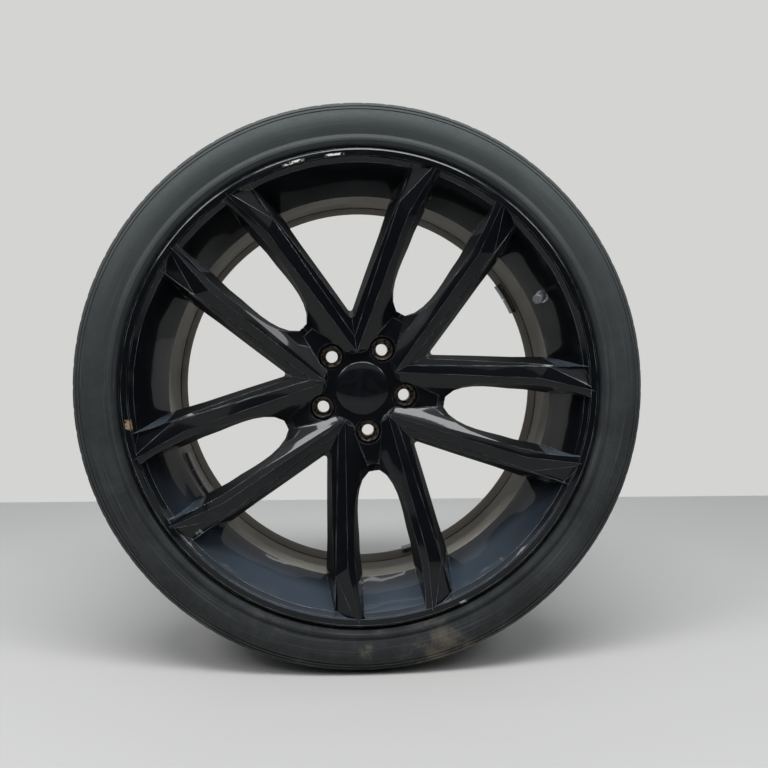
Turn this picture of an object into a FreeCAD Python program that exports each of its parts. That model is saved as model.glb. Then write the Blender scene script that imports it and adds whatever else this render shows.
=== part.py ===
import FreeCAD, Part
import math
import os

V = FreeCAD.Vector

# Tyre size 265/30 R22 on a 22 x 9 rim, all lengths in mm
TYRE_R = 358.9
TYRE_SHOULDER_R = 354.6
TYRE_HALF_WIDTH = 132.5
TREAD_HALF = 96.0
GROOVE_CENTRES = (-68.0, -24.0, 24.0, 68.0)
GROOVE_WIDTH = 10.0
GROOVE_DEPTH = 7.5
TREAD_THICK = 16.5
CONTACT_FLAT = 1.5
BEAD_GAP = 0.6

# Rim section
BEAD_R = 279.4
BEAD_HALF = 114.3
FLANGE_R = 296.9
FACE_Z = 125.0
LIP_STEP_R = 286.5
LIP_ROUND = 3.5
HUMP_R = 279.0
HUMP_Z = 89.5
SEAT_END_R = 277.9
SEAT_END_Z = 93.5
WELL_OUT_R = 259.0
WELL_WALL = 6.5
WELL_FRONT_Z = 62.0
WELL_BACK_Z = 24.0
BARREL_OUT_R = 271.3
BARREL_WALL = 6.7
REAR_BAND_STEP = 1.2
REAR_BAND_FRONT = -55.0
REAR_BAND_BACK = -92.0
REAR_FLARE = 5.9
DRUM_R = 270.0
DRUM_Z = 97.0
DRUM_FOOT = 4.0
WELL_IN_R = WELL_OUT_R - WELL_WALL
BARREL_IN_R = BARREL_OUT_R - BARREL_WALL
REAR_BAND_R = BARREL_IN_R - REAR_BAND_STEP
REAR_OPENING_R = BARREL_IN_R + REAR_FLARE

# Hub, bolt circle and centre bore
OFFSET = 37.0
PAD_R = 78.0
HUB_DEPTH = 45.0
PCD = 114.3
LUGS = 5
LUG_HOLE_R = 8.0
SEAT_R = 13.2
POCKET_R = 17.2
SEAT_DEPTH = 12.0
BORE_R = 32.05
BORE_LENGTH = 15.0
BORE_RELIEF = 1.5
NECK_DEPTH = 18.0
CAP_NECK_R = 30.4
CAP_SEAT_R = 34.4
CAP_SEAT_DEPTH = 4.0
RELIEF_DEPTH = 14.0
CAP_RING_R = 26.0
WIRE_R = 0.9

# Spoke pairs: u runs out along a pair's centre line, v sideways, depth is measured back from the lip
PAIRS = 5
PAIR_ANGLE = 62.3
# Seam of the bodies of revolution, from a pair's centre line: inside a window, clear of the spokes
SEAM_ANGLE = 4.0
CREASE_HUB_R = 47.0
CREASE_HUB_DEPTH = 36.0
CREASE_TIP = (218.0, 50.5)
CREASE_TIP_DEPTH = 6.0
FLANK_SLOPE = 0.42
FOLD_HUB = (44.0, 24.9)
FOLD_TIP = (213.0, 40.6)
FOLD_SLOPE = 0.7
FACE_SLOPE = 0.24
TIP_EDGE = (285.0, 48.6)
TIP_EDGE_DEPTH = 0.25
LEDGE_CORNER = (227.0, 67.0)
LEDGE_HUB_R = 65.5
LEDGE_STEP = 4.0
LEDGE_END_R = 118.0
TIP_IN = 7.2
TIP_RIDGE = 9.2
POCKET_START = 9.8
POCKET_END = 15.3
POCKET_DEPTH_IN = 3.0
POCKET_DEPTH_OUT = 10.5
WALL_RUN = 1.0
DISC_R = 290.0
CORE_Z = 20.0

# Windows: outline at the front level and at the back level, drafted between them
FRONT_LEVEL = 112.0
BACK_LEVEL = 58.0
NARROW_FRONT = ((104, 0), (105, 6), (109.5, 13), (117, 20), (126, 25.5), (148, 32), (175, 37), (205, 40.2),
                (230, 40.8), (300, 34.5))
NARROW_BACK = ((109.5, 0), (110.5, 5), (114.4, 11.5), (121, 16.8), (128.7, 21), (150, 27.6), (175, 31.1),
               (195, 32.4), (223, 32.8), (300, 31))
WIDE_FRONT = (77.4, 27.6, 6.0)
WIDE_BACK = (95.8, 26.8, 4.0)
WINDOW_END = 306.0
NARROW_FACETS = 30
CORNER_FACETS = 5

# Hollow behind each spoke, in the same (u, v): outline at the back, outline at its roof, roof heights
HOLLOW_BACK = ((135, 31), (180, 38), (232, 39.5), (232, 74), (180, 66), (135, 58.5))
HOLLOW_ROOF = ((143, 37.5), (180, 42.5), (228, 46), (228, 62.5), (180, 55.5), (143, 50))
HOLLOW_ROOF_Z = (91.0, 104.0)

# Valve and pressure sensor
VALVE_ANGLE = 27.0
VALVE_TILT = 60.0
VALVE_Z = 78.0
VALVE_WALL = 2.5
VALVE_HOLE_R = 5.9
VALVE_STEM_R = 4.0
VALVE_STEM_END = 30.0
VALVE_GAP = 0.3
CORE_TRAVEL = 1.5
COIL_R = 1.35
COIL_PITCH = 1.1
COILS = 5
COIL_SIDES = 8
COIL_WIRE = 0.18
SENSOR_SIZE = (46.0, 21.0, 13.0)

# Balance weights stuck inside the barrel: centre angle, segments, band start, bonding radius
WEIGHT_SEGMENT = 25.0
WEIGHT_WIDTH = 19.0
WEIGHT_THICK = 4.0
TAPE_THICK = 1.0
TAPE_GAP = 0.3
WELL_BAND_Z = 31.0
WEIGHT_SPLIT = 1.2


def revolve(points, angle=360.0):
    """Solid of revolution about Z from a closed (r, z) outline."""
    outline = [V(r, 0, z) for r, z in points]
    face = Part.Face(Part.makePolygon(outline + outline[:1]))
    return face.revolve(V(0, 0, 0), V(0, 0, 1), angle)


def ring(r_in, r_out, z0, z1):
    """Plain washer or, with no inner radius, a disc."""
    solid = Part.makeCylinder(r_out, z1 - z0, V(0, 0, z0))
    if r_in > 0:
        solid = solid.cut(Part.makeCylinder(r_in, z1 - z0 + 2, V(0, 0, z0 - 1)))
    return solid


def turned(shape, angle):
    """Copy of a shape turned about the wheel axis."""
    copy = shape.copy()
    copy.rotate(V(0, 0, 0), V(0, 0, 1), angle)
    return copy


def polar(r, angle):
    a = math.radians(angle)
    return (r * math.cos(a), r * math.sin(a))


HALF = 180.0 / PAIRS


def crease(u):
    """Side position and depth of the spoke's crease line at a distance u."""
    u0, v0 = polar(CREASE_HUB_R, HALF)
    k = (u - u0) / (CREASE_TIP[0] - u0)
    v = v0 + k * (CREASE_TIP[1] - v0)
    depth = CREASE_HUB_DEPTH + k * (CREASE_TIP_DEPTH - CREASE_HUB_DEPTH)
    return v, depth


def fold(u):
    """Side position of the line where the spoke's narrow flank turns down to the window."""
    k = (u - FOLD_HUB[0]) / (FOLD_TIP[0] - FOLD_HUB[0])
    return FOLD_HUB[1] + k * (FOLD_TIP[1] - FOLD_HUB[1])


def flank(point):
    """Point on the narrow facet beside the crease, or on the steep one past the fold."""
    v, depth = crease(point[0])
    edge = fold(point[0])
    if point[1] > edge:
        return (point[0], point[1], depth + FLANK_SLOPE * (v - point[1]))
    return (point[0], point[1], depth + FLANK_SLOPE * (v - edge) + FOLD_SLOPE * (edge - point[1]))


def facet(point, drop=0.0):
    """Point on the lit facet that falls towards the wide window."""
    v, depth = crease(point[0])
    return (point[0], point[1], depth + FACE_SLOPE * (point[1] - v) + drop)


def tip(point, drop=0.0):
    """Point on the flat facet at the spoke's tip, the plane of three corners."""
    a = V(CREASE_TIP[0], CREASE_TIP[1], CREASE_TIP_DEPTH)
    b = V(TIP_EDGE[0], TIP_EDGE[1], TIP_EDGE_DEPTH)
    c = V(*facet(LEDGE_CORNER))
    n = (b - a).cross(c - a)
    depth = a.z - (n.x * (point[0] - a.x) + n.y * (point[1] - a.y)) / n.z
    return (point[0], point[1], depth + drop)


def half_sector():
    """Facets of half a spoke pair, as outlines of (u, v, depth), and its open rim."""
    floor = [(0, 0), (99.5, 0), (99.5, 7.2), (74.3, 13.2), (47, 16.8), (40, 22.3),
             polar(CREASE_HUB_R - WALL_RUN, HALF)]
    floor = [(u, v, HUB_DEPTH) for u, v in floor]
    brink = [(100.6, 0), (100.6, 8.0), (74.8, 14.3), (47.4, 17.9), FOLD_HUB]
    brink = [flank(p) for p in brink] + [facet(polar(CREASE_HUB_R, HALF))]
    inner = [flank(p) for p in ((108.5, 0), (127, 11), (146, 22), (178, 30), (213, 34))]
    fold_tip = flank(FOLD_TIP)
    crest = (CREASE_TIP[0], CREASE_TIP[1], CREASE_TIP_DEPTH)
    corner = facet(LEDGE_CORNER)
    tip_in = polar(DISC_R, TIP_IN) + (2.2,)
    tip_edge = tip(polar(DISC_R, TIP_RIDGE))
    pocket_top = tip(polar(DISC_R, POCKET_START))
    run = math.degrees(WALL_RUN / DISC_R)
    pocket_a = tip(polar(DISC_R, POCKET_START + run), POCKET_DEPTH_IN)
    pocket_b = polar(DISC_R, POCKET_END - run) + (POCKET_DEPTH_OUT,)
    rib = polar(DISC_R, POCKET_END) + (0.8,)
    tip_out = polar(DISC_R, POCKET_END + 2.5) + (1.2,)
    ledge_out = facet(polar(240.0, 20.6), LEDGE_STEP)
    hub_edge = facet(polar(LEDGE_HUB_R, HALF))
    k = 0.15
    break_top = tuple(a + k * (b - a) for a, b in zip(corner, hub_edge))
    side = V(corner[0] - hub_edge[0], corner[1] - hub_edge[1], 0)
    side.normalize()
    off = V(-side.y, side.x, 0) * WALL_RUN
    break_low = facet((break_top[0] + off.x, break_top[1] + off.y), LEDGE_STEP)
    ledge_hub = facet(polar(LEDGE_HUB_R + WALL_RUN / math.sin(math.radians(24.7)), HALF), LEDGE_STEP)
    ledge_end = facet(polar(LEDGE_END_R, HALF), LEDGE_STEP)
    faces = [floor]
    for i in range(len(floor) - 2):
        faces.append([floor[i + 1], floor[i + 2], brink[i]])
        faces.append([floor[i + 2], brink[i + 1], brink[i]])
    faces.append(brink[:5] + [fold_tip] + inner[::-1])
    faces.append([brink[4], brink[5], crest, fold_tip])
    faces.append([brink[5], hub_edge, break_top, corner, crest])
    faces.append([crest, corner, pocket_top, tip_edge])
    faces.append([crest, tip_edge, fold_tip])
    faces.append([fold_tip, tip_edge, tip_in])
    faces.append([inner[-1], fold_tip, tip_in])
    faces.append([corner, pocket_a, pocket_top])
    faces.append([corner, pocket_b, pocket_a])
    faces.append([corner, rib, pocket_b])
    faces.append([corner, tip_out, rib])
    faces.append([corner, ledge_out, tip_out])
    faces.append([corner, break_low, ledge_out])
    faces.append([corner, break_top, break_low])
    faces.append([break_top, hub_edge, break_low])
    faces.append([hub_edge, ledge_hub, break_low])
    faces.append([break_low, ledge_hub, ledge_end])
    faces.append([break_low, ledge_end, ledge_out])
    rim = inner + [tip_in, tip_edge, pocket_top, pocket_a, pocket_b, rib, tip_out, ledge_out, ledge_end]
    return faces, rim


def place(point, angle, mirror):
    """Wheel position of a (u, v, depth) point in one half of a spoke pair."""
    a = math.radians(angle)
    u, v, depth = point
    v = -v if mirror else v
    x = u * math.cos(a) - v * math.sin(a)
    y = u * math.sin(a) + v * math.cos(a)
    return V(round(x, 7), round(y, 7), round(FACE_Z - depth, 7))


def faceted_star():
    """One closed solid under all the spoke facets, with plain sides and a flat back."""
    tops, rim = half_sector()
    faces = []
    base = []
    for i in range(PAIRS):
        angle = PAIR_ANGLE + 360.0 / PAIRS * i
        for mirror in (True, False):
            for outline in tops:
                points = [place(p, angle, mirror) for p in outline]
                faces.append(Part.Face(Part.makePolygon(points + points[:1])))
            edge = [place(p, angle, mirror) for p in rim]
            if mirror:
                edge.reverse()
            for a, b in zip(edge, edge[1:]):
                foot = [a, b, V(b.x, b.y, CORE_Z), V(a.x, a.y, CORE_Z)]
                faces.append(Part.Face(Part.makePolygon(foot + foot[:1])))
            base.extend(V(p.x, p.y, CORE_Z) for p in edge[:-1])
    faces.append(Part.Face(Part.makePolygon(base + base[:1])))
    shell = Part.makeShell(faces)
    shell.sewShape()
    solid = Part.makeSolid(shell)
    if solid.Volume < 0:
        solid.reverse()
    return solid


def at_height(front, back, z):
    """Outline points carried along their draft lines to a height."""
    k = (z - BACK_LEVEL) / (FRONT_LEVEL - BACK_LEVEL)
    return [V(b[0] + k * (f[0] - b[0]), b[1] + k * (f[1] - b[1]), z) for f, b in zip(front, back)]


def narrow_window():
    """Leaf-shaped cutter between the two spokes of a pair."""
    wires = []
    for z in (CORE_Z - 2, FACE_Z + 8):
        right = at_height(NARROW_FRONT, NARROW_BACK, z)
        left = [V(p.x, -p.y, p.z) for p in right[:0:-1]]
        curve = Part.BSplineCurve()
        curve.interpolate(left + right)
        points = curve.discretize(NARROW_FACETS)
        wires.append(Part.makePolygon(points + points[:1]))
    return Part.makeLoft(wires, True, True)


def wide_outline(apex, angle, radius):
    """Corner, arc middle and outer point of a V-shaped window's side."""
    a = math.radians(angle)
    centre = apex + radius / math.sin(a)
    return ((centre - radius, 0), (centre - radius * math.sin(a), radius * math.cos(a)),
            (WINDOW_END, (WINDOW_END - apex) * math.tan(a)))


def wide_window():
    """V-shaped cutter between two neighbouring pairs."""
    wires = []
    front = wide_outline(*WIDE_FRONT)
    back = wide_outline(*WIDE_BACK)
    for z in (CORE_Z - 2, FACE_Z + 8):
        nose, bend, end = at_height(front, back, z)
        low_bend = V(bend.x, -bend.y, z)
        low_end = V(end.x, -end.y, z)
        points = [low_end] + Part.Arc(low_bend, nose, bend).toShape().discretize(CORNER_FACETS) + [end]
        wires.append(Part.makePolygon(points + points[:1]))
    return Part.makeLoft(wires, True, True)


def spoke_hollow(mirror):
    """Tapered hollow cast into the back of one spoke."""
    side = -1 if mirror else 1
    low, high = HOLLOW_ROOF_Z
    u0 = HOLLOW_ROOF[0][0]
    rise = (high - low) / (HOLLOW_ROOF[2][0] - u0)
    mouth = [V(u, v * side, CORE_Z) for u, v in HOLLOW_BACK]
    roof = [V(u, v * side, low + rise * (u - u0)) for u, v in HOLLOW_ROOF]
    wires = [Part.makePolygon(points + points[:1]) for points in (mouth, roof)]
    return Part.makeLoft(wires, True, True)


def drum_middle(z):
    """Radius half way through the slanted wall between the drop well and the front bead seat."""
    k_out = (z - WELL_FRONT_Z) / (HUMP_Z - WELL_FRONT_Z)
    foot = WELL_FRONT_Z - DRUM_FOOT
    k_in = (z - foot) / (DRUM_Z - foot)
    r_out = WELL_OUT_R + k_out * (HUMP_R - WELL_OUT_R)
    r_in = WELL_IN_R + k_in * (DRUM_R - WELL_IN_R)
    return (r_out + r_in) / 2


def rim_barrel():
    """Rim from the front lip through the drop well to the rear flange."""
    k = LIP_ROUND * 0.3
    outer = [(FLANGE_R - LIP_ROUND, FACE_Z), (FLANGE_R - k, FACE_Z - k), (FLANGE_R, FACE_Z - LIP_ROUND),
             (FLANGE_R, BEAD_HALF), (BEAD_R + 4, BEAD_HALF), (BEAD_R, BEAD_HALF - 4),
             (SEAT_END_R, SEAT_END_Z), (HUMP_R, HUMP_Z), (WELL_OUT_R, WELL_FRONT_Z),
             (WELL_OUT_R, WELL_BACK_Z), (BARREL_OUT_R, 5.0), (BARREL_OUT_R, -82.0), (HUMP_R, -HUMP_Z),
             (SEAT_END_R, -SEAT_END_Z), (BEAD_R, 4 - BEAD_HALF), (BEAD_R + 4, -BEAD_HALF),
             (FLANGE_R, -BEAD_HALF), (FLANGE_R, LIP_ROUND - FACE_Z), (FLANGE_R - LIP_ROUND, -FACE_Z)]
    inner = [(REAR_OPENING_R, -FACE_Z), (REAR_BAND_R, REAR_BAND_BACK), (REAR_BAND_R, REAR_BAND_FRONT),
             (BARREL_IN_R, REAR_BAND_FRONT), (BARREL_IN_R, 4.0), (WELL_IN_R, WELL_BACK_Z),
             (WELL_IN_R, WELL_FRONT_Z - DRUM_FOOT), (DRUM_R, DRUM_Z), (281.0, 115.5), (LIP_STEP_R, 118.5),
             (LIP_STEP_R, FACE_Z - 0.4)]
    return revolve(outer + inner)


def disc_limits():
    """Body of revolution that gives the disc its back and ends it inside the rim wall."""
    return revolve([(0, OFFSET), (PAD_R, OFFSET), (PAD_R + 16, OFFSET + 9), (150, 52), (205, 60),
                    (WELL_IN_R - 2.5, WELL_FRONT_Z - 5), (WELL_IN_R + 3.5, WELL_FRONT_Z - 2),
                    (drum_middle(VALVE_Z), VALVE_Z), (drum_middle(DRUM_Z - 5), DRUM_Z - 3), (BEAD_R - 2.2, BEAD_HALF - 9.3),
                    (BEAD_R - 0.7, BEAD_HALF - 4), (BEAD_R + 1, BEAD_HALF - 1.8), (BEAD_R + 4.1, BEAD_HALF + 1.3),
                    (DISC_R, BEAD_HALF + 2.7), (DISC_R, FACE_Z + 5), (0, FACE_Z + 5)])


def hub_cutters():
    """Centre bore with the cap's seat, lug holes with cone seats, and rear relief pockets."""
    top = FACE_Z - HUB_DEPTH
    neck = top - NECK_DEPTH
    bore_end = OFFSET + BORE_LENGTH
    bore = revolve([(0, OFFSET - 2), (BORE_R + 2, OFFSET - 2), (BORE_R + 1.5, OFFSET),
                    (BORE_R, OFFSET + 1.5), (BORE_R, bore_end), (BORE_R + BORE_RELIEF, bore_end),
                    (BORE_R + BORE_RELIEF, neck), (CAP_NECK_R, neck),
                    (CAP_NECK_R, top - CAP_SEAT_DEPTH), (CAP_SEAT_R, top - CAP_SEAT_DEPTH),
                    (CAP_SEAT_R, FACE_Z), (0, FACE_Z)])
    seat = top - SEAT_DEPTH
    fall = (SEAT_R - LUG_HOLE_R) * math.tan(math.radians(60))
    lug = revolve([(0, OFFSET - 2), (LUG_HOLE_R, OFFSET - 2), (LUG_HOLE_R, seat - fall), (SEAT_R, seat),
                   (POCKET_R, seat), (POCKET_R, FACE_Z), (0, FACE_Z)])
    relief = Part.makeBox(14, 20, RELIEF_DEPTH + 1, V(50, -10, OFFSET - 1))
    cutters = [bore]
    for i in range(LUGS):
        angle = PAIR_ANGLE + 360.0 / LUGS * i
        hole = lug.copy()
        hole.translate(V(PCD / 2, 0, 0))
        cutters.append(turned(hole, angle))
        cutters.append(turned(relief, angle + 180.0 / LUGS))
    return cutters


def on_valve(shape):
    """Move a shape made along Z to the valve's place and tilt in the rim wall."""
    copy = shape.copy()
    copy.rotate(V(0, 0, 0), V(0, 1, 0), VALVE_TILT - 90)
    copy.translate(V(drum_middle(VALVE_Z), 0, VALVE_Z))
    return turned(copy, VALVE_ANGLE)


def alloy_wheel():
    """The one-piece casting: rim, faceted spoke pairs, hub and machined holes."""
    seam = PAIR_ANGLE + SEAM_ANGLE
    disc = faceted_star().common(turned(disc_limits(), seam))
    cutters = []
    for i in range(PAIRS):
        angle = PAIR_ANGLE + 360.0 / PAIRS * i
        cutters.append(turned(narrow_window(), angle))
        cutters.append(turned(wide_window(), angle + HALF))
        cutters.append(turned(spoke_hollow(True), angle))
        cutters.append(turned(spoke_hollow(False), angle))
    disc = disc.cut(cutters)
    wheel = turned(rim_barrel(), seam).fuse(disc)
    valve_hole = Part.makeCylinder(VALVE_HOLE_R, 40, V(0, 0, -20))
    front_spot = Part.makeCylinder(9.5, 22, V(0, 0, VALVE_WALL))
    rear_spot = Part.makeCylinder(9.5, 12, V(0, 0, -VALVE_WALL - 12))
    holes = [on_valve(s) for s in (valve_hole, front_spot, rear_spot)]
    return wheel.cut(hub_cutters() + holes)


def tyre():
    """Low-profile tyre: beads, sidewalls with a rim protector, and a grooved tread with a flat patch."""
    side = [(BEAD_R - 0.3, SEAT_END_Z + 2), (BEAD_R + BEAD_GAP, BEAD_HALF - 4 - BEAD_GAP),
            (BEAD_R + 4 + BEAD_GAP, BEAD_HALF - BEAD_GAP), (FLANGE_R + 1.2, BEAD_HALF - BEAD_GAP),
            (FLANGE_R + 4.5, 124.0), (FLANGE_R + 8.5, 130.5), (325.0, TYRE_HALF_WIDTH),
            (343.0, 127.0), (TYRE_SHOULDER_R, 114.5), (TYRE_R, TREAD_HALF)]
    tread = []
    floor = TYRE_R - GROOVE_DEPTH
    for z in reversed(GROOVE_CENTRES):
        top = z + GROOVE_WIDTH / 2
        low = z - GROOVE_WIDTH / 2
        tread += [(TYRE_R, top), (floor, top), (floor, low), (TYRE_R, low)]
    liner_r = TYRE_R - TREAD_THICK
    liner = [(liner_r, 106.0), (324.0, 121.0), (301.0, 106.0)]
    rear = [(r, -z) for r, z in reversed(side)]
    inside = [(r, -z) for r, z in reversed(liner)]
    solid = revolve(side + tread + rear + inside + liner)
    foot = Part.makeBox(400, 40, 400, V(-200, -TYRE_R - 40 + CONTACT_FLAT, -200))
    return solid.cut(foot)


def centre_cap():
    """Domed snap-in cap with six barbed legs."""
    seat = FACE_Z - HUB_DEPTH - CAP_SEAT_DEPTH + 0.3
    neck = FACE_Z - HUB_DEPTH - NECK_DEPTH
    outline = [(0, seat), (27.2, seat), (27.2, neck - 4.5), (29.4, neck - 4.5), (31.2, neck - 2.6),
               (31.2, neck - 0.4), (29.6, neck - 0.4), (29.6, seat), (CAP_SEAT_R - 0.4, seat),
               (CAP_SEAT_R - 0.4, seat + 3.6), (31.5, seat + 5.4), (22, seat + 7.8), (10, seat + 9.0),
               (0, seat + 9.2)]
    cap = revolve(outline)
    slots = []
    for i in range(6):
        slot = Part.makeBox(14, 12, seat - neck + 8, V(22, -6, neck - 8.5))
        slots.append(turned(slot, 60 * i))
    return cap.cut(slots)


def cap_spring_ring():
    """Wire ring that spreads the cap's legs."""
    z = FACE_Z - HUB_DEPTH - NECK_DEPTH - 1.5
    wire = [polar(WIRE_R, 60 * i) for i in range(6)]
    return revolve([(CAP_RING_R + a, z + b) for a, b in wire])


def hex_nut(flats, z0, z1, bore):
    r = flats / math.sqrt(3)
    corners = [V(r * math.cos(math.radians(60 * i)), r * math.sin(math.radians(60 * i)), z0) for i in range(7)]
    solid = Part.Face(Part.makePolygon(corners)).extrude(V(0, 0, z1 - z0))
    return solid.cut(Part.makeCylinder(bore, z1 - z0 + 2, V(0, 0, z0 - 1)))


def valve_parts():
    """Clamp-in valve from the sensor base out to the dust cap, made along Z."""
    g = VALVE_GAP
    w = VALVE_WALL
    stem_r = VALVE_STEM_R
    end = VALVE_STEM_END
    parts = {}
    parts["valve_grommet"] = revolve([(stem_r + g, -w - 3.2), (8.6, -w - 3.2), (8.6, -w - g),
                                      (VALVE_HOLE_R - g, -w - g), (VALVE_HOLE_R - g, w - 0.4),
                                      (stem_r + g, w - 0.4)])
    base = -w - 3.2 - g
    parts["valve_stem"] = revolve([(1.4, base - 4), (7.8, base - 4), (7.8, base), (stem_r, base), (stem_r, end),
                                   (2.75, end), (2.75, end - 9), (2.2, end - 10), (2.2, end - 20), (1.4, end - 21)])
    parts["valve_washer"] = ring(stem_r + g, 8.4, w + g, w + 1.5)
    nut_z = w + 1.5 + g
    parts["valve_nut"] = hex_nut(12.0, nut_z, nut_z + 6.0, stem_r + g).fuse(
        ring(stem_r + g, 7.6, nut_z, nut_z + 1.4))
    cap_z = nut_z + 8.0
    cap_r = stem_r + 2.2
    parts["valve_cap"] = revolve([(stem_r + g, cap_z), (cap_r, cap_z), (cap_r, end + 2.6), (cap_r - 1.2, end + 3.8),
                                  (0, end + 3.8), (0, end + 2.0), (stem_r + g, end + 2.0)])
    parts["valve_cap_seal"] = ring(2.6, stem_r - 0.2, end + g, end + 2.0 - g)
    parts["valve_core"] = revolve([(1.1, end - 9.5), (1.9, end - 9.5), (1.9, end - 8.4), (2.45, end - 8.4),
                                   (2.45, end - 1.5), (1.1, end - 1.5)])
    parts["valve_core_pin"] = revolve([(0, end - 19.2), (1.0, end - 19.2), (1.0, end - 18.2), (0.6, end - 18.2),
                                       (0.6, end - 0.4), (0, end - 0.4)])
    turn = 360.0 / COIL_SIDES
    path = [polar(COIL_R, turn * i) + (COIL_PITCH * i / COIL_SIDES,) for i in range(COILS * COIL_SIDES + 1)]
    path = Part.makePolygon([V(x, y, z) for x, y, z in path])
    square = ((-COIL_WIRE, -COIL_WIRE), (COIL_WIRE, -COIL_WIRE), (COIL_WIRE, COIL_WIRE), (-COIL_WIRE, COIL_WIRE))
    profile = [V(COIL_R + a, 0, b) for a, b in square]
    spring = path.makePipeShell([Part.makePolygon(profile + profile[:1])], True, False, 1)
    spring.translate(V(0, 0, end - 17.4))
    parts["valve_core_spring"] = spring
    parts["valve_core_seal"] = ring(0.9, 1.9, end - 11.4, end - 9.8)
    return parts, base


def sensor_parts(base):
    """Pressure sensor housing under the valve and the screw that holds it."""
    length, width, height = SENSOR_SIZE
    top = base - 4.3
    body = Part.makeBox(width, length, height, V(-9, -12, top - height))
    edges = [e for e in body.Edges if abs(e.Vertexes[0].Z - e.Vertexes[1].Z) > 1]
    body = body.makeFillet(4.0, edges)
    slot = Part.makeCylinder(1.7, height + 2, V(0, 0, top - height - 1))
    sink = Part.makeCylinder(4.0, 8.0, V(0, 0, top - height - 1))
    vent = Part.makeCylinder(1.2, 2.0, V(2, 24, top - 1))
    housing = body.cut([slot, sink, vent])
    screw = ring(0, 3.6, top - height + 3.2, top - height + 6.7).fuse(
        ring(0, 1.3, top - height + 6.7, base + 1.0))
    drive = Part.makeBox(0.9, 5.4, 1.6, V(-0.45, -2.7, top - height + 2.6))
    return {"pressure_sensor": housing, "sensor_screw": screw.cut(drive)}


def weight_parts():
    """Stick-on balance weights with their tapes: segments of rings inside the barrel."""
    parts = {}
    groups = {"rear_left": (31.0, 2, REAR_BAND_BACK, REAR_BAND_R),
              "rear_low": (-73.0, 1, REAR_BAND_BACK, REAR_BAND_R),
              "well": (209.0, 3, WELL_BAND_Z, WELL_IN_R)}
    for name, (centre, count, z, bond_r) in groups.items():
        r_tape = bond_r - TAPE_GAP
        r_back = r_tape - TAPE_THICK - TAPE_GAP
        r_face = r_back - WEIGHT_THICK
        step = math.degrees(WEIGHT_SEGMENT / r_back)
        gap = math.degrees(WEIGHT_SPLIT / r_back)
        block = revolve([(r_face, z + 2), (r_face, z + WEIGHT_WIDTH - 2), (r_face + 1.2, z + WEIGHT_WIDTH),
                         (r_back, z + WEIGHT_WIDTH), (r_back, z), (r_face + 1.2, z)], step - gap)
        web = revolve([(r_back - 0.8, z + 1), (r_back - 0.8, z + WEIGHT_WIDTH - 1), (r_back, z + WEIGHT_WIDTH - 1),
                       (r_back, z + 1)], step * count - gap)
        start = centre - step * count / 2
        weight = turned(web, start)
        for i in range(count):
            weight = weight.fuse(turned(block, start + step * i))
        parts["weight_" + name] = weight.removeSplitter()
        tape = revolve([(r_tape - TAPE_THICK, z + 1), (r_tape - TAPE_THICK, z + WEIGHT_WIDTH - 1),
                        (r_tape, z + WEIGHT_WIDTH - 1), (r_tape, z + 1)], step * count - gap)
        parts["tape_" + name] = turned(tape, start)
    return parts


def export(name, shape):
    """Stand the wheel up, face to -Y, and write one STEP file."""
    copy = shape.copy()
    copy.rotate(V(0, 0, 0), V(1, 0, 0), 90)
    copy.exportStep("parts/%s.step" % name)
    box = copy.BoundBox
    print("%-20s %9.1f cm3  valid %s  solids %d  %.1f x %.1f x %.1f" % (
        name, copy.Volume / 1000, copy.isValid(), len(copy.Solids), box.XLength, box.YLength, box.ZLength))


os.makedirs("parts", exist_ok=True)
nodes = {"alloy_wheel": alloy_wheel(), "tyre": tyre(), "centre_cap": centre_cap(),
         "cap_spring_ring": cap_spring_ring()}
valve, sensor_base = valve_parts()
valve.update(sensor_parts(sensor_base))
for name, shape in valve.items():
    nodes[name] = on_valve(shape)
nodes.update(weight_parts())
for name, shape in nodes.items():
    export(name, shape)
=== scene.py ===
# %% [markdown]
# # A black alloy wheel and its tyre
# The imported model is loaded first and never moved. Every piece made here sits in the same frame, in metres,
# with the wheel's axis along Y and its face towards -Y.

# %% Load the frame
import math
import bpy
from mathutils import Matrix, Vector


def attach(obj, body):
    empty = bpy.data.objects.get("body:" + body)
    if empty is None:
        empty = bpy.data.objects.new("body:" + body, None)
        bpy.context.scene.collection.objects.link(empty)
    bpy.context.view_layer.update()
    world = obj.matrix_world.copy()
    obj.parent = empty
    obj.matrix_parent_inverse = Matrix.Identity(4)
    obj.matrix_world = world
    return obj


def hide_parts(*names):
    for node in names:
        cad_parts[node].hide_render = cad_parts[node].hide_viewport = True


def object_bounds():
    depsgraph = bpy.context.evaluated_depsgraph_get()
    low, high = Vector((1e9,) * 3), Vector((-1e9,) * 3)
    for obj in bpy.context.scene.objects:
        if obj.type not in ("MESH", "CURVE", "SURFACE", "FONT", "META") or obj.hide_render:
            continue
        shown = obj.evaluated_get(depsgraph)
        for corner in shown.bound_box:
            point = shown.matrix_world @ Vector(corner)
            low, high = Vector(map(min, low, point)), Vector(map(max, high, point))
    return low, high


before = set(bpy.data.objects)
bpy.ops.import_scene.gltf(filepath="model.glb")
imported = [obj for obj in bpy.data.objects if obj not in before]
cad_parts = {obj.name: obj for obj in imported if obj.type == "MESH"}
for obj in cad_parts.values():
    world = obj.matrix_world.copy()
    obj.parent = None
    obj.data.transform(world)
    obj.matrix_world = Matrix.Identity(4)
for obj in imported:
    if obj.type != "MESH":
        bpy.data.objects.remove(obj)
cad_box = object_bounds()
MM = 0.001
print("nodes:", len(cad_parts), "box:", [round(x, 4) for x in cad_box[1] - cad_box[0]])

# %% [markdown]
# ## Camera
# The picture was taken from almost straight in front, close to the wheel with a phone's wide lens. The lens
# is worked out for a picture 768 pixels wide with a focal length of about 690 pixels, and the small yaw and
# pitch are those that put the axis' vanishing point left of and above the middle.

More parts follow.
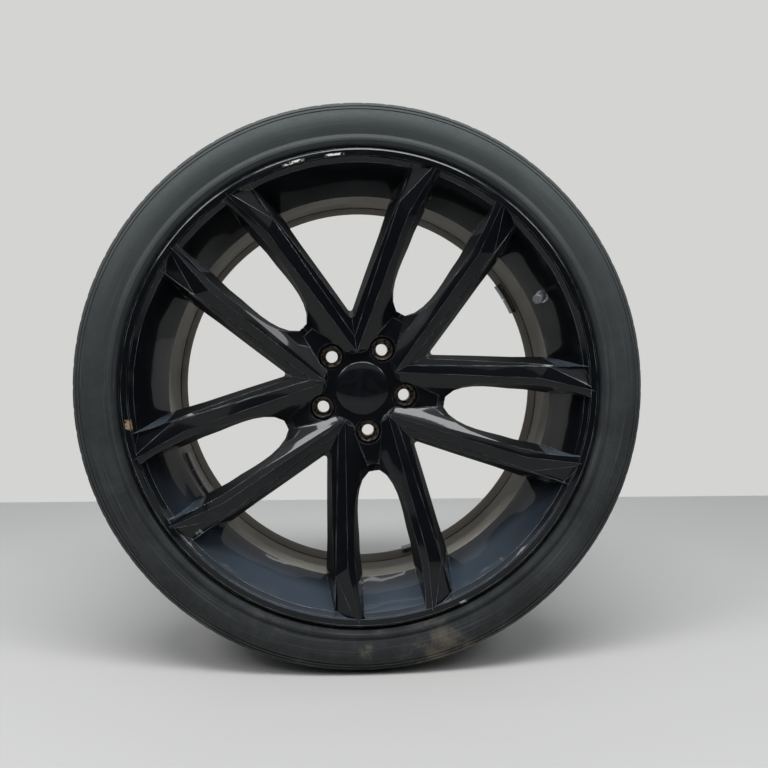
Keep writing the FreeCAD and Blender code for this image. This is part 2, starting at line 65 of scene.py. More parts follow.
# %% Camera
PICTURE_PX = 768
FOCAL_PX = 690
CAMERA_TURN = (math.radians(89.0), 0, math.radians(-2.83))
LIP_FRONT = Vector((0, -0.125, 0))
LIP_IN_VIEW = Vector((-0.0262, -0.0060, -0.85))
cam_data = bpy.data.cameras.new("photo_camera")
cam = bpy.data.objects.new("photo_camera", cam_data)
bpy.context.scene.collection.objects.link(cam)
cam_data.sensor_width = 36.0
cam_data.lens = cam_data.sensor_width * FOCAL_PX / PICTURE_PX
cam.rotation_euler = CAMERA_TURN
bpy.context.view_layer.update()
cam.location = LIP_FRONT - cam.matrix_world.to_3x3() @ LIP_IN_VIEW
cam_data.clip_start = 0.02
bpy.context.scene.camera = cam
print("lens", round(cam_data.lens, 2), "at", [round(x, 3) for x in cam.location])

# %% [markdown]
# ## Helpers for materials
# Colours are written as the sRGB hex values that a paint chart would give and turned to linear light once.
# One function adds a node, sets it up, links its inputs and hands back the output that the next node takes.


# %% Colour and node helpers
def hex_rgb(code):
    """Linear RGBA of an sRGB hex colour."""
    parts = [int(code[i:i + 2], 16) / 255 for i in (1, 3, 5)]
    return tuple(c / 12.92 if c <= 0.04045 else ((c + 0.055) / 1.055) ** 2.4 for c in parts) + (1.0,)


def add(tree, kind, inputs=None, out=0, **settings):
    """Add one node; inputs maps a socket's name or number to a value or to another node's output."""
    node = tree.nodes.new("ShaderNode" + kind)
    for key, value in settings.items():
        setattr(node, key, value)
    for key, value in (inputs or {}).items():
        if isinstance(value, bpy.types.NodeSocket):
            tree.links.new(value, node.inputs[key])
        else:
            node.inputs[key].default_value = value
    return node.outputs[out]


def finish_material(name):
    """A new material; returns it, its node tree and its shader's sockets."""
    mat = bpy.data.materials.new(name)
    mat.use_nodes = True
    return mat, mat.node_tree, mat.node_tree.nodes["Principled BSDF"].inputs


SMOOTH = {"interpolation_type": "SMOOTHSTEP"}
RGB = {"out": 2, "data_type": "RGBA"}
print("helpers ready")

# %% [markdown]
# ## Gloss black paint
# The wheel is a cast aluminium alloy, painted black and clear coated. The coat gives the sharp reflections, and
# the paint under it is a very dark blue-black. The inside of the barrel has no clear coat and is dull with brake
# dust. The front is scraped to bare metal in a few short patches, and the nut seats are worn bright. A picture
# could hold all this, but here the places are worked out from the wheel's own radius, angle and depth, so they
# stay on it from any side.

# %% Places on the wheel
PAIR_ANGLE = math.radians(62.3)
PAIR_STEP = math.radians(72)
BOLT_R = 57.15 * MM
# Where each finish starts and where it is full: depths along the axle, then distances from it
BARREL_DEPTH = (-58.5 * MM, -57.0 * MM)
REAR_BAND_DEPTH = (54 * MM, 56 * MM)
# The drum's painted reflection is full at the front depth and fades to a quarter deeper in, as painted shade.
REFLECTION_FADE_DEPTH = (-64 * MM, -92 * MM)
FRONT_DEPTH = (-90 * MM, -95 * MM)
SEAT_DEPTH = (-69.2 * MM, -68.0 * MM)
RIM_R = (244 * MM, 246 * MM)
SEAT_R = (14.2 * MM, 13.2 * MM)
# Worn patches on the lip and in one tip pocket: angle and half length in degrees, inner and outer radius in
# mm, colour
WORN_PATCHES = [(107.0, 3.0, 287.2, 291.0, "#d8d6d0"), (96.8, 2.6, 287.2, 290.6, "#d8d6d0"),
                (188.8, 1.6, 285.0, 292.0, "#a58d70"), (-64.8, 1.2, 292.0, 297.0, "#b9bcbd"),
                (-138.6, 0.9, 264.0, 273.0, "#8c8c90")]
PATCH_EDGE_MM = 0.8
print("worn patches", len(WORN_PATCHES))


# %% Places round the axle
def round_places(tree):
    """A point's place, depth along the axle, height, distance from the axle and angle round it."""
    place = add(tree, "TexCoord", out="Object")
    x, y, z = add(tree, "SeparateXYZ", {0: place}).node.outputs
    flat = add(tree, "CombineXYZ", {0: x, 2: z})
    radius = add(tree, "VectorMath", {0: flat}, "Value", operation="LENGTH")
    angle = add(tree, "Math", {0: z, 1: x}, operation="ARCTAN2")
    return place, y, z, radius, angle


print("first pair of spokes at", round(math.degrees(PAIR_ANGLE), 1), "degrees")


# %% Colours of the paint, the barrel and a painted reflection on the drum
def ground_colour(tree, place, depth, radius, normal):
    """Dusty paint, a painted reflection on the drum and a dull barrel; returns the colour and the masks of barrel
    and rim.
    """
    # Dust clouds of about 35 mm.
    grime = add(tree, "TexNoise", {"Vector": place, "Scale": 1 / (35 * MM), "Detail": 6.0, "Roughness": 0.65})
    dust = add(tree, "MapRange", {0: grime, 1: 0.55, 2: 0.8, 4: 0.3}, **SMOOTH)
    colour = add(tree, "Mix", {0: dust, 6: hex_rgb("#090b0e"), 7: hex_rgb("#25272a")}, **RGB)
    rim = add(tree, "MapRange", {0: radius, 1: RIM_R[0], 2: RIM_R[1]}, **SMOOTH)
    # Painted reflection: blue-grey on the drum where it faces up, fading deeper in as painted shade.
    facing_up = add(tree, "SeparateXYZ", {0: normal}, 2)
    up_facing_reflection = add(tree, "MapRange", {0: facing_up, 1: 0.2, 2: 0.95, 4: 0.8}, **SMOOTH)
    reflection_shade_fade = add(tree, "MapRange", {0: depth, 1: REFLECTION_FADE_DEPTH[0], 2: REFLECTION_FADE_DEPTH[1], 3: 0.25}, **SMOOTH)
    painted_reflection = add(tree, "Math", {0: up_facing_reflection, 1: rim}, operation="MULTIPLY")
    painted_reflection = add(tree, "Math", {0: painted_reflection, 1: reflection_shade_fade}, operation="MULTIPLY")
    colour = add(tree, "Mix", {0: painted_reflection, 6: colour, 7: hex_rgb("#454e58")}, **RGB)
    # The dull barrel starts where the drop well ends, and its rear band is darker.
    deep = add(tree, "MapRange", {0: depth, 1: BARREL_DEPTH[0], 2: BARREL_DEPTH[1]}, **SMOOTH)
    inside = add(tree, "Math", {0: deep, 1: rim}, operation="MULTIPLY")
    barrel = add(tree, "Mix", {0: grime, 6: hex_rgb("#77726a"), 7: hex_rgb("#969186")}, **RGB)
    rear = add(tree, "MapRange", {0: depth, 1: REAR_BAND_DEPTH[0], 2: REAR_BAND_DEPTH[1]}, **SMOOTH)
    barrel = add(tree, "Mix", {0: rear, 6: barrel, 7: hex_rgb("#4f463a")}, **RGB)
    colour = add(tree, "Mix", {0: inside, 6: colour, 7: barrel}, **RGB)
    return colour, inside, rim


print("barrel starts at", round(BARREL_DEPTH[0] / MM, 1), "mm")


# %% Worn patches
def scraped_patches(tree, colour, speck, depth, radius, angle):
    """Scrape the front to metal in its worn patches; returns the colour and how bare the metal is."""
    torn = add(tree, "MapRange", {0: speck, 1: 0.44, 2: 0.50}, **SMOOTH)
    front = add(tree, "MapRange", {0: depth, 1: FRONT_DEPTH[0], 2: FRONT_DEPTH[1]}, **SMOOTH)
    torn = add(tree, "Math", {0: torn, 1: front}, operation="MULTIPLY")
    bare = 0.0
    for at, half, inner, outer, metal in WORN_PATCHES:
        away = add(tree, "Math", {0: angle, 1: math.radians(at)}, operation="SUBTRACT")
        away = add(tree, "Math", {0: away, 1: math.pi, 2: -math.pi}, operation="WRAP")
        away = add(tree, "Math", {0: away}, operation="ABSOLUTE")
        arc = add(tree, "MapRange", {0: away, 1: math.radians(half), 2: math.radians(half / 2)}, **SMOOTH)
        low = add(tree, "MapRange", {0: radius, 1: inner * MM, 2: (inner + PATCH_EDGE_MM) * MM}, **SMOOTH)
        high = add(tree, "MapRange", {0: radius, 1: outer * MM, 2: (outer - PATCH_EDGE_MM) * MM}, **SMOOTH)
        band = add(tree, "Math", {0: low, 1: high}, operation="MULTIPLY")
        patch = add(tree, "Math", {0: arc, 1: band}, operation="MULTIPLY")
        patch = add(tree, "Math", {0: patch, 1: torn}, operation="MULTIPLY")
        colour = add(tree, "Mix", {0: patch, 6: colour, 7: hex_rgb(metal)}, **RGB)
        bare = add(tree, "Math", {0: bare, 1: patch}, operation="MAXIMUM")
    return colour, bare


print("longest patch", max(2 * half for _, half, *_ in WORN_PATCHES), "degrees")


# %% Nut seats
def rubbed_seats(tree, colour, bare, speck, depth, radius, angle):
    """Rub the five nut seats bright; returns the colour and how bare the metal is."""
    # Distance from the nearest nut hole, by folding the angle into one fifth.
    turn = add(tree, "Math", {0: angle, 1: PAIR_ANGLE}, operation="SUBTRACT")
    turn = add(tree, "Math", {0: turn, 1: PAIR_STEP / 2, 2: -PAIR_STEP / 2}, operation="WRAP")
    sine = add(tree, "Math", {0: turn}, operation="SINE")
    cosine = add(tree, "Math", {0: turn}, operation="COSINE")
    across = add(tree, "Math", {0: radius, 1: sine}, operation="MULTIPLY")
    along = add(tree, "Math", {0: radius, 1: cosine, 2: -BOLT_R}, operation="MULTIPLY_ADD")
    offset = add(tree, "CombineXYZ", {0: along, 1: across})
    from_hole = add(tree, "VectorMath", {0: offset}, "Value", operation="LENGTH")
    near = add(tree, "MapRange", {0: from_hole, 1: SEAT_R[0], 2: SEAT_R[1]}, **SMOOTH)
    sunk = add(tree, "MapRange", {0: depth, 1: SEAT_DEPTH[0], 2: SEAT_DEPTH[1]}, **SMOOTH)
    rubbed = add(tree, "MapRange", {0: speck, 1: 0.38, 2: 0.55}, **SMOOTH)
    seat = add(tree, "Math", {0: near, 1: sunk}, operation="MULTIPLY")
    seat = add(tree, "Math", {0: seat, 1: rubbed}, operation="MULTIPLY")
    colour = add(tree, "Mix", {0: seat, 6: colour, 7: hex_rgb("#8f8170")}, **RGB)
    bare = add(tree, "Math", {0: bare, 1: seat}, operation="MAXIMUM")
    return colour, bare


print("nut seats", round(2 * math.pi / PAIR_STEP))


# %% Wheel paint
def wheel_paint():
    # Clear-coated paint: near black straight on, sharp reflections where a facet faces something bright.
    mat, tree, shader = finish_material("clear_coated_black_paint")
    place, depth, _, radius, angle = round_places(tree)
    normal = add(tree, "NewGeometry", out="Normal")
    # Chips of about 3.5 mm.
    speck = add(tree, "TexNoise", {"Vector": place, "Scale": 1 / (3.5 * MM), "Detail": 3.0})
    colour, inside, rim = ground_colour(tree, place, depth, radius, normal)
    colour, bare = scraped_patches(tree, colour, speck, depth, radius, angle)
    colour, bare = rubbed_seats(tree, colour, bare, speck, depth, radius, angle)
    # The drafted walls of the windows are as cast: their normals lie across the axis.
    facing = add(tree, "SeparateXYZ", {0: normal}, 1)
    facing = add(tree, "Math", {0: facing}, operation="ABSOLUTE")
    wall = add(tree, "MapRange", {0: facing, 1: 0.45, 2: 0.25}, **SMOOTH)
    disc = add(tree, "Math", {0: 1.0, 1: rim}, operation="SUBTRACT")
    wall = add(tree, "Math", {0: wall, 1: disc}, operation="MULTIPLY")
    dull = add(tree, "Math", {0: inside, 1: bare}, operation="MAXIMUM")
    dull = add(tree, "Math", {0: dull, 1: wall}, operation="MAXIMUM")
    tree.links.new(colour, shader["Base Color"])
    tree.links.new(add(tree, "Mix", {0: dull, 2: 0.3, 3: 0.6}), shader["Roughness"])
    tree.links.new(add(tree, "Math", {0: 1.0, 1: dull}, operation="SUBTRACT"), shader["Coat Weight"])
    tree.links.new(add(tree, "Math", {0: bare, 1: 0.85}, operation="MULTIPLY"), shader["Metallic"])
    shader["Coat Roughness"].default_value = 0.05
    shader["Coat IOR"].default_value = 1.32
    shader["Specular IOR Level"].default_value = 0.06
    # Cast facets are never quite flat: a swell of about 70 mm grades the reflections, under a 6 mm peel.
    wave = add(tree, "TexNoise", {"Vector": place, "Scale": 1 / (70 * MM), "Detail": 0.0})
    swell = add(tree, "Bump", {"Strength": 1.0, "Distance": 6 * MM, "Height": wave})
    peel = add(tree, "TexNoise", {"Vector": place, "Scale": 1 / (6 * MM), "Detail": 1.0})
    skin = add(tree, "Bump", {"Strength": 0.02, "Distance": MM, "Height": peel, "Normal": swell})
    tree.links.new(skin, shader["Normal"])
    tree.links.new(skin, shader["Coat Normal"])
    return mat


black_paint = wheel_paint()
print("made", black_paint.name)

# %% [markdown]
# ## Rubbed edges
# Rounded edges catch the light, so thin bright lines run along the spokes. They are painted here as a light grey
# finish on the edges, a painted highlight. They could be masked by how sharply the surface bends, but the bevel
# below makes its own faces there, and a finish of their own is simpler and stays exact.


# %% Painted edge highlights
def make_edge_highlight():
    # Painted highlight: a narrow light grey line with a bright coat, stronger here and fainter there.
    mat, tree, shader = finish_material("painted_edge_highlight")
    place = add(tree, "TexCoord", out="Object")
    # Patches of about 25 mm along an edge.
    patchy = add(tree, "TexNoise", {"Vector": place, "Scale": 1 / (25 * MM), "Detail": 4.0})
    # The light grey end of this mix is the painted highlight.
    worn = add(tree, "MapRange", {0: patchy, 1: 0.35, 2: 0.65}, **SMOOTH)
    colour = add(tree, "Mix", {0: worn, 6: hex_rgb("#30353a"), 7: hex_rgb("#c3cad1")}, **RGB)
    tree.links.new(colour, shader["Base Color"])
    shader["Roughness"].default_value = 0.35
    shader["Coat Weight"].default_value = 1.0
    shader["Coat Roughness"].default_value = 0.1
    return mat


edge_highlight_finish = make_edge_highlight()
print("made", edge_highlight_finish.name)

# %% [markdown]
# ## The casting
# The CAD mesh is loose triangles, so a copy is merged before it is shaded. A real casting has no knife edges: a
# small bevel on every sharp edge catches the light and carries the painted edge highlight. The rim is turned on a
# lathe, and long thin triangles shade a turned surface badly, so its faces are given the normals of the lathe's
# own surface instead.


# %% Copying a node
def deselect_all():
    bpy.ops.object.select_all(action="DESELECT")


def merged_copy(node, name):
    """A merged copy of a CAD node's mesh as its own object, with its flat faces joined up."""
    obj = bpy.data.objects.new(name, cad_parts[node].data.copy())
    bpy.context.scene.collection.objects.link(obj)
    obj.data.materials.clear()
    deselect_all()
    bpy.context.view_layer.objects.active = obj
    obj.select_set(True)
    bpy.ops.object.mode_set(mode="EDIT")
    bpy.ops.mesh.select_all(action="SELECT")
    bpy.ops.mesh.remove_doubles(threshold=0.01 * MM)
    bpy.ops.mesh.tris_convert_to_quads(face_threshold=math.radians(1), shape_threshold=math.radians(180))
    bpy.ops.mesh.dissolve_limited(angle_limit=math.radians(0.05))
    bpy.ops.object.mode_set(mode="OBJECT")
    return obj


casting = merged_copy("alloy_wheel", "wheel_casting")
print("casting faces", len(casting.data.polygons))

# %% Bevel the casting's edges
BEVEL_ANGLE = math.radians(19)
casting.data.materials.append(black_paint)
casting.data.materials.append(edge_highlight_finish)
bevel = casting.modifiers.new("edge_bevel", "BEVEL")
bevel.width = 0.7 * MM
bevel.segments = 2
bevel.limit_method = "ANGLE"
bevel.angle_limit = BEVEL_ANGLE
bevel.use_clamp_overlap = True
# The bevel's faces take the second material, the painted edge highlight.
bevel.material = 1
bpy.ops.object.modifier_apply(modifier=bevel.name)
bpy.ops.object.shade_smooth_by_angle(angle=BEVEL_ANGLE)
print("casting faces with bevels", len(casting.data.polygons))

# %% Keep the shallow creases of the spokes
# A crease between two spoke facets runs across the axis, while the steps of a curved wall run along it.
CREASE_ANGLE = math.radians(6)
SPOKE_TIP_R = 285 * MM
bpy.ops.object.mode_set(mode="EDIT")
bpy.ops.mesh.select_mode(type="EDGE")
bpy.ops.mesh.select_all(action="DESELECT")
bpy.ops.mesh.edges_select_sharp(sharpness=CREASE_ANGLE)
bpy.ops.object.mode_set(mode="OBJECT")
creases = 0
for edge in casting.data.edges:
    a, b = (casting.data.vertices[i].co for i in edge.vertices)
    if edge.select and abs(a.y - b.y) < 0.5 * (a - b).length and math.hypot(a.x, a.z) < SPOKE_TIP_R:
        edge.use_edge_sharp = True
        creases += 1
print("crease edges", creases)

# %% Normals of turned surfaces
HUB_TURNED_R = 36 * MM
RIM_TURNED_R = 245 * MM
TURNED_LEAN = 0.03
TURNED_CREASE = math.cos(math.radians(20))


def turn_normals(mesh):
    """Give each face that a lathe would have turned, at the hub or the rim, its own surface's smooth normals."""
    normals = [Vector(corner.vector) for corner in mesh.corner_normals]
    met = {}
    turned = []
    for face in mesh.polygons:
        c, n = face.center, face.normal
        r = math.hypot(c.x, c.z)
        if HUB_TURNED_R < r < RIM_TURNED_R or abs(n.z * c.x - n.x * c.z) > TURNED_LEAN * r:
            continue
        slope = Vector(((n.x * c.x + n.z * c.z) / r, n.y)).normalized()
        turned.append((face, slope))
        for v in face.vertices:
            met.setdefault(v, []).append(slope)
    for face, slope in turned:
        for corner, v in zip(face.loop_indices, face.vertices):
            mean = sum((s for s in met[v] if s.dot(slope) > TURNED_CREASE), Vector((0, 0))).normalized()
            p = mesh.vertices[v].co
            r = max(math.hypot(p.x, p.z), 0.01 * MM)
            normals[corner] = Vector((mean.x * p.x / r, mean.y, mean.x * p.z / r))
    mesh.normals_split_custom_set(normals)
    return len(turned)


print("turned faces", turn_normals(casting.data))
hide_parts("alloy_wheel")
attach(casting, "wheel")

# %% [markdown]
# ## Tyre rubber
# A tyre is black rubber with carbon in it, moulded, so it is dark grey and matt. Dry dust lies on its wall in
# clouds, the upper wall is lightened as painted light from above, and a brown smear of dirt sits low on it, where
# it last stood. The rings of a mould leave fine lines that run round it. They could be modelled, but they are
# finer than a pixel, so they are drawn as noise stretched along the circle.


# %% Tyre rubber
def tyre_rubber():
    # Moulded rubber: matt, with dust that greys it, painted light that lightens the upper wall, and fine lines
    # round the wall.
    mat, tree, shader = finish_material("moulded_tyre_rubber")
    place, _, height, radius, angle = round_places(tree)
    # Dust clouds of 60 mm, grain of 4 mm, and rings 1.6 mm apart that fade along about 30 degrees.
    broad = add(tree, "TexNoise", {"Vector": place, "Scale": 1 / (60 * MM), "Detail": 7.0, "Roughness": 0.7})
    fine = add(tree, "TexNoise", {"Vector": place, "Scale": 1 / (4 * MM), "Detail": 4.0})
    ring = add(tree, "Math", {0: radius, 1: 1 / (1.6 * MM)}, operation="MULTIPLY")
    lap = add(tree, "Math", {0: angle, 1: 2.0}, operation="MULTIPLY")
    wound = add(tree, "CombineXYZ", {0: ring, 1: lap})
    rings = add(tree, "TexNoise", {"Vector": wound, "Scale": 1.0, "Detail": 1.0})
    cloud = add(tree, "MapRange", {0: broad, 1: 0.35, 2: 0.7}, **SMOOTH)
    colour = add(tree, "Mix", {0: cloud, 6: hex_rgb("#232526"), 7: hex_rgb("#333637")}, **RGB)
    # Painted light from above: the wall is mixed lighter towards the top.
    painted_top_light = add(tree, "MapRange", {0: height, 1: -150 * MM, 2: 330 * MM, 4: 0.55}, **SMOOTH)
    colour = add(tree, "Mix", {0: painted_top_light, 6: colour, 7: hex_rgb("#535857")}, **RGB)
    ring_line = add(tree, "MapRange", {0: rings, 1: 0.55, 2: 0.75, 4: 0.3}, **SMOOTH)
    colour = add(tree, "Mix", {0: ring_line, 6: colour, 7: hex_rgb("#5b5e5e")}, **RGB)
    under = add(tree, "MapRange", {0: height, 1: -250 * MM, 2: -345 * MM}, **SMOOTH)
    smear = add(tree, "MapRange", {0: broad, 1: 0.5, 2: 0.66, 4: 0.6}, **SMOOTH)
    smear = add(tree, "Math", {0: under, 1: smear}, operation="MULTIPLY")
    colour = add(tree, "Mix", {0: smear, 6: colour, 7: hex_rgb("#75695a")}, **RGB)
    tree.links.new(colour, shader["Base Color"])
    tree.links.new(add(tree, "MapRange", {0: fine, 1: 0.3, 2: 0.7, 3: 0.55, 4: 0.75}), shader["Roughness"])
    shader["Specular IOR Level"].default_value = 0.2
    relief = add(tree, "Math", {0: fine, 1: rings}, operation="ADD")
    skin = add(tree, "Bump", {"Strength": 0.3, "Distance": 0.4 * MM, "Height": relief})
    tree.links.new(skin, shader["Normal"])
    return mat


rubber = tyre_rubber()
print("made", rubber.name)

# %% [markdown]
# ## Tyre
# A tyre is a ring, so it is made as on a lathe: one point is extruded along the section from bead to bead and the
# line is spun about the axle. The cross grooves are then sunk into the tread, every few faces round, and the
# blocks are swept back a little so that the grooves slant.

# %% Tyre section
TYRE_R = 358.9
# Radius and half width in mm, from the bead up the wall: rim protector, wall, shoulder rings, edge of the tread
HALF_SECTION = [(279.1, 95.5), (280.0, 109.7), (284.0, 113.7), (298.1, 113.7), (300.4, 121.0),
                (302.2, 126.0), (304.4, 128.6), (307.0, 129.0), (309.4, 127.7), (311.6, 127.0),
                (314.4, 128.0), (318.5, 130.0), (325.0, 131.9), (331.0, 131.8), (336.5, 130.2),
                (341.0, 127.7), (341.8, 125.9), (342.8, 126.5), (346.0, 124.0), (346.8, 122.1),
                (347.8, 122.7), (350.0, 120.5), (350.8, 118.4), (353.4, 115.4), (355.2, 111.8),
                (356.8, 106.0), (358.2, 98.0), (TYRE_R, 90.0)]
LINER = [(342.4, 106.0), (324.0, 121.0), (301.0, 106.0)]
GROOVE_CENTRES = (68.0, 24.0, -24.0, -68.0)
# One groove across: depth below the tread and half width
GROOVE_WALL = [(0.0, 5.0), (1.0, 4.7), (7.5, 4.0)]
tread = []
for centre in GROOVE_CENTRES:
    tread += [(TYRE_R - down, centre + half) for down, half in GROOVE_WALL]
    tread += [(TYRE_R - down, centre - half) for down, half in reversed(GROOVE_WALL)]
section = HALF_SECTION + tread + [(r, -w) for r, w in reversed(HALF_SECTION)]
section += [(r, -w) for r, w in reversed(LINER)] + LINER
print("section points", len(section))


# %% Spin the tyre
def spun(name, outline, steps):
    """Extrude one point along a (radius, width) outline and spin it about the axle."""
    deselect_all()
    bpy.ops.mesh.primitive_plane_add(size=MM, location=(0, 0, 0))
    obj = bpy.context.object
    obj.name = name
    bpy.ops.object.mode_set(mode="EDIT")
    bpy.ops.mesh.select_mode(type="VERT")
    bpy.ops.mesh.select_all(action="SELECT")
    bpy.ops.mesh.merge(type="CENTER")
    points = [Vector((0, -w * MM, -r * MM)) for r, w in outline]
    bpy.ops.transform.translate(value=points[0])
    for here, there in zip(points, points[1:]):
        bpy.ops.mesh.extrude_region_move(TRANSFORM_OT_translate={"value": there - here})
    bpy.ops.mesh.select_all(action="SELECT")
    bpy.ops.mesh.spin(steps=steps, angle=2 * math.pi, center=(0, 0, 0), axis=(0, 1, 0))
    bpy.ops.mesh.select_all(action="SELECT")
    bpy.ops.mesh.remove_doubles(threshold=0.02 * MM)
    bpy.ops.mesh.normals_make_consistent(inside=False)
    bpy.ops.object.mode_set(mode="OBJECT")
    return obj


SPIN_STEPS = 400
tyre = spun("tyre_moulding", section + section[:1], SPIN_STEPS)
print("tyre faces", len(tyre.data.polygons))

# %% Sink the cross grooves
STEP_ANGLE = 2 * math.pi / SPIN_STEPS
TREAD_FACE_R = 353 * MM
TREAD_HALF = 116.5 * MM
CENTRE_RIB_HALF = 29 * MM
CROSS_DEPTH = 5.5 * MM
# A groove every five faces, with those of the far half two faces further round
PITCH = 5
STAGGER = 2
bpy.ops.object.mode_set(mode="EDIT")
bpy.ops.mesh.select_all(action="DESELECT")
bpy.ops.object.mode_set(mode="OBJECT")
for face in tyre.data.polygons:
    c = face.center
    if math.hypot(c.x, c.z) > TREAD_FACE_R and CENTRE_RIB_HALF < abs(c.y) < TREAD_HALF:
        step = math.floor(math.atan2(c.z, c.x) / STEP_ANGLE) + 1
        face.select = (step + (STAGGER if c.y > 0 else 0)) % PITCH == 0
bpy.ops.object.mode_set(mode="EDIT")
bpy.ops.mesh.select_mode(type="FACE")
bpy.ops.mesh.extrude_region_shrink_fatten(TRANSFORM_OT_shrink_fatten={"value": -CROSS_DEPTH})
bpy.ops.object.mode_set(mode="OBJECT")
print("tyre faces with cross grooves", len(tyre.data.polygons))

# %% Slant the blocks and flatten the foot
SLANT = 0.055
SLANT_R = 347.5 * MM
FLOOR_Z = cad_box[0].z
for v in tyre.data.vertices:
    r = math.hypot(v.co.x, v.co.z)
    if r > SLANT_R and abs(v.co.y) < TREAD_HALF:
        a = math.atan2(v.co.z, v.co.x) + SLANT * (1 - abs(v.co.y) / TREAD_HALF)
        v.co.x, v.co.z = r * math.cos(a), r * math.sin(a)
    v.co.z = max(v.co.z, FLOOR_Z)
bpy.ops.object.shade_smooth_by_angle(angle=math.radians(35))
tyre.data.materials.append(rubber)
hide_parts("tyre")
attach(tyre, "wheel")
print("tyre low point", round(min(v.co.z for v in tyre.data.vertices), 4))

# %% [markdown]
# ## Small pieces
# The cap is moulded plastic, glossy and domed. The valve's metal is nickelled, its dust cap is grey plastic, and
# the weights are plated. Each could be one flat colour at this size, but a close view would show it, so each gets
# a finish with a little grain, at the size of the real grain.


# %% Finish of a small piece
def grained(name, dark, light, grain_mm, roughness, metallic=0.0, coat=0.0, bump_mm=0.05, specular=0.5):
    # A fine grain moves the colour and the gloss a little, as handling and casting skin do.
    mat, tree, shader = finish_material(name)
    place = add(tree, "TexCoord", out="Object")
    scale = 1 / (grain_mm * MM)
    grain = add(tree, "TexNoise", {"Vector": place, "Scale": scale, "Detail": 5.0, "Roughness": 0.6})
    shade = add(tree, "MapRange", {0: grain, 1: 0.3, 2: 0.7}, **SMOOTH)
    colour = add(tree, "Mix", {0: shade, 6: hex_rgb(dark), 7: hex_rgb(light)}, **RGB)
    tree.links.new(colour, shader["Base Color"])
    low, high = roughness
    tree.links.new(add(tree, "MapRange", {0: grain, 1: 0.3, 2: 0.7, 3: low, 4: high}), shader["Roughness"])
    bump = add(tree, "Bump", {"Strength": 0.3, "Distance": bump_mm * MM, "Height": grain})
    tree.links.new(bump, shader["Normal"])
    shader["Metallic"].default_value = metallic
    shader["Coat Weight"].default_value = coat
    shader["Coat Roughness"].default_value = 0.05
    shader["Specular IOR Level"].default_value = specular
    return mat


# Polished black plastic: a dark mirror, all highlight and no colour.
gloss_cap = grained("gloss_black_plastic", "#0b0c0e", "#121417", 12, (0.12, 0.2), coat=0.25, bump_mm=0.01,
                    specular=0.15)
# Nickel on brass: a soft silver, a little warm, dulled by handling.
nickel = grained("nickelled_brass", "#8f9193", "#b9bbbc", 3, (0.28, 0.42), metallic=1.0)
# Zinc on steel: a colder, greyer silver with a fine grain.
steel = grained("zinc_plated_steel", "#8a8c8e", "#b3b5b7", 2, (0.3, 0.45), metallic=1.0)
# Bare brass from the lathe: yellow, and bright where it is turned.
brass = grained("turned_brass", "#a07a3a", "#c79f52", 2, (0.25, 0.4), metallic=1.0)
# Moulded nylon in grey and in black: a satin that shows no sharp reflection.
grey_plastic = grained("grey_nylon", "#4c4f52", "#686c6f", 2, (0.45, 0.6))
black_nylon = grained("black_nylon", "#17181a", "#222426", 2, (0.45, 0.6))
# Soft rubber: almost no shine.
black_rubber = grained("black_rubber", "#1a1b1c", "#252627", 3, (0.6, 0.8))
# Weights: one dull plating, and one coated black to hide in the well.
weight_metal = grained("plated_weight", "#55575a", "#75777a", 4, (0.4, 0.55), metallic=0.9)
dark_weight = grained("black_coated_weight", "#141516", "#222325", 4, (0.4, 0.55))
# Foam tape: a pale line at a weight's edge, fully matt.
foam_tape = grained("foam_tape", "#c9c7c0", "#dedcd5", 2, (0.7, 0.9))
print("materials so far", len(bpy.data.materials))

# %% Finishes on the nodes
NODE_FINISH = {"centre_cap": gloss_cap, "cap_spring_ring": steel, "valve_grommet": black_rubber,
               "valve_stem": nickel, "valve_washer": steel, "valve_nut": nickel, "valve_cap": grey_plastic,
               "valve_cap_seal": black_rubber, "valve_core": brass, "valve_core_pin": brass,
               "valve_core_spring": steel, "valve_core_seal": black_rubber, "pressure_sensor": black_nylon,
               "sensor_screw": steel, "weight_rear_left": weight_metal, "weight_rear_low": weight_metal,
               "weight_well": dark_weight, "tape_rear_left": foam_tape, "tape_rear_low": foam_tape,
               "tape_well": foam_tape}
for node_name, finish in NODE_FINISH.items():
    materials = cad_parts[node_name].data.materials
    materials.clear()
    materials.append(finish)
print("finishes on", len(NODE_FINISH), "nodes")

# %% [markdown]
# ## Centre cap
# The cap snaps into the hub by its legs and shows only a glossy face. Its dome is what the light shows first, and
# a coarse ring of flats would break the highlight, so the face is spun finely from a curve and laid over the cap.

# %% Centre cap
# The dome's top, and how it falls away with the radius, in mm
DOME_TOP = 85.65
DOME_FALL = 0.000543
DOME_POWER = 2.566
HUB_FACE = 80.05
FACE_EDGE = [(33.8, 80.9), (34.5, 80.4), (34.7, HUB_FACE + 0.1), (34.7, HUB_FACE), (0.0, HUB_FACE)]
CAP_STEPS = 96
dome = [(r, DOME_TOP - DOME_FALL * r ** DOME_POWER) for r in range(0, 33, 4)]
cap_face = spun("cap_face", dome + FACE_EDGE, CAP_STEPS)
bpy.ops.object.shade_smooth_by_angle(angle=math.radians(40))
cap_face.data.materials.append(gloss_cap)
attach(cap_face, "wheel")
print("cap face", len(cap_face.data.polygons), "faces")

# %% [markdown]
# ## Floor, dark cards and light
# A plain pale floor ends where the pale room begins. Black gloss shows only what it reflects, so photographers
# stand dark cards behind the camera: facets that face them stay black, and those that lean to the soft lights
# shine. The cards are hidden from the camera, and the lights too.


# %% Floor and cards
def stage_plane(name, colour, size, place, turn):
    deselect_all()
    bpy.ops.mesh.primitive_plane_add(size=1, location=place, rotation=turn)
    obj = bpy.context.object
    obj.name = name
    obj.scale = (size[0], size[1], 1)
    mat, _, shader = finish_material(name + "_finish")
    shader["Base Color"].default_value = hex_rgb(colour)
    shader["Roughness"].default_value = 0.6
    obj.data.materials.append(mat)
    return obj


WALL_Y = 1.07
FLOOR_WIDTH = 12
FLOOR_DEPTH = 6.0
CARD_HIGH = 1.3
CARD_Z = FLOOR_Z + CARD_HIGH / 2 + 0.01
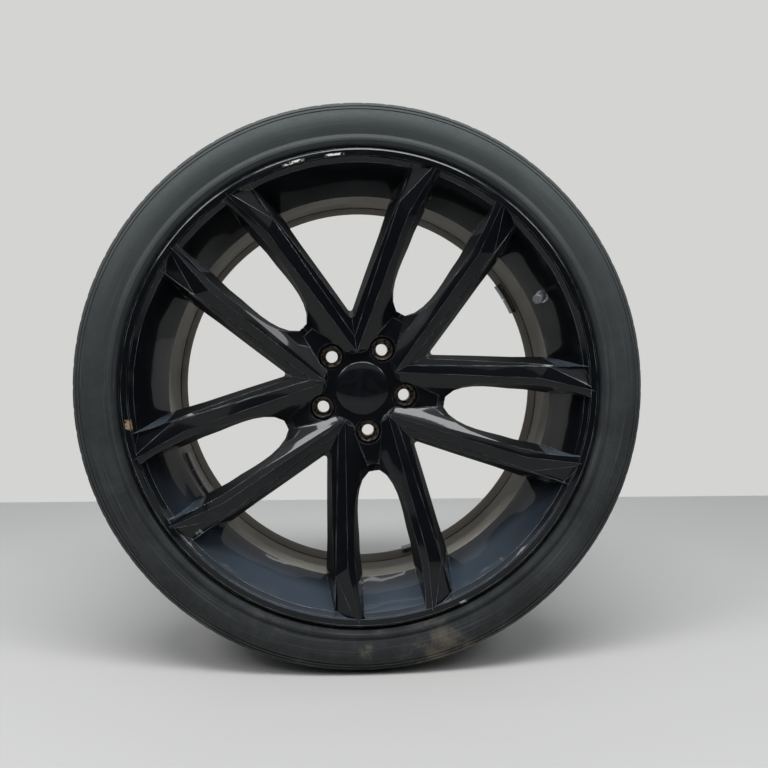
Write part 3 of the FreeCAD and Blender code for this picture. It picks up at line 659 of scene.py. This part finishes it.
# Name, width, place across and along, turn in degrees
CARDS = [("dark_card", 4.0, 0.0, -2.0, 0), ("dark_card_left", 1.8, -2.0, -1.1, 90),
         ("dark_card_right", 1.8, 2.0, -1.1, -90)]
stage_plane("floor", "#cfcdc9", (FLOOR_WIDTH, FLOOR_DEPTH), (0, WALL_Y - FLOOR_DEPTH / 2, FLOOR_Z), (0, 0, 0))
for name, width, across, along, turn in CARDS:
    upright = (math.radians(90), 0, math.radians(turn))
    card = stage_plane(name, "#202123", (width, CARD_HIGH), (across, along, CARD_Z), upright)
    card.visible_camera = False
print("floor at", round(FLOOR_Z, 4), "with", len(CARDS), "cards")

# %% Lights
DAYLIGHT = (0.95, 0.975, 1.0)


def soft_light(name, place, size, watts):
    """A rectangular lamp, turned to the middle of the wheel."""
    data = bpy.data.lights.new(name, "AREA")
    data.shape = "RECTANGLE"
    data.size, data.size_y = size
    data.energy = watts
    data.color = DAYLIGHT
    lamp = bpy.data.objects.new(name, data)
    lamp.location = place
    lamp.rotation_euler = (-Vector(place)).to_track_quat("-Z", "Y").to_euler()
    lamp.visible_camera = False
    bpy.context.scene.collection.objects.link(lamp)


soft_light("ceiling", (0.0, -1.1, 1.9), (2.0, 0.5), 44)
soft_light("left_high", (-1.5, -1.2, 1.5), (0.7, 0.7), 16)
soft_light("right_high", (1.6, -1.2, 1.5), (0.6, 0.6), 9)
soft_light("rear_strip", (0.0, 0.95, 1.3), (1.3, 0.08), 1.2)

# %% World
# The room looks pale to the camera and in reflections, and lights the wheel a little less than it looks.
world = bpy.data.worlds.new("white_room")
bpy.context.scene.world = world
world.use_nodes = True
sky = world.node_tree
ray = add(sky, "LightPath").node.outputs
seen = add(sky, "Math", {0: ray["Is Camera Ray"], 1: ray["Is Transmission Ray"]}, operation="MAXIMUM")
seen = add(sky, "Math", {0: seen, 1: ray["Is Glossy Ray"]}, operation="MAXIMUM")
room = add(sky, "Mix", {0: seen, 6: hex_rgb("#8e9398"), 7: hex_rgb("#d4d4d2")}, **RGB)
sky.links.new(room, sky.nodes["Background"].inputs["Color"])
sky.nodes["Background"].inputs["Strength"].default_value = 1.0
bpy.context.scene.view_settings.view_transform = "Standard"
print("world", world.name)
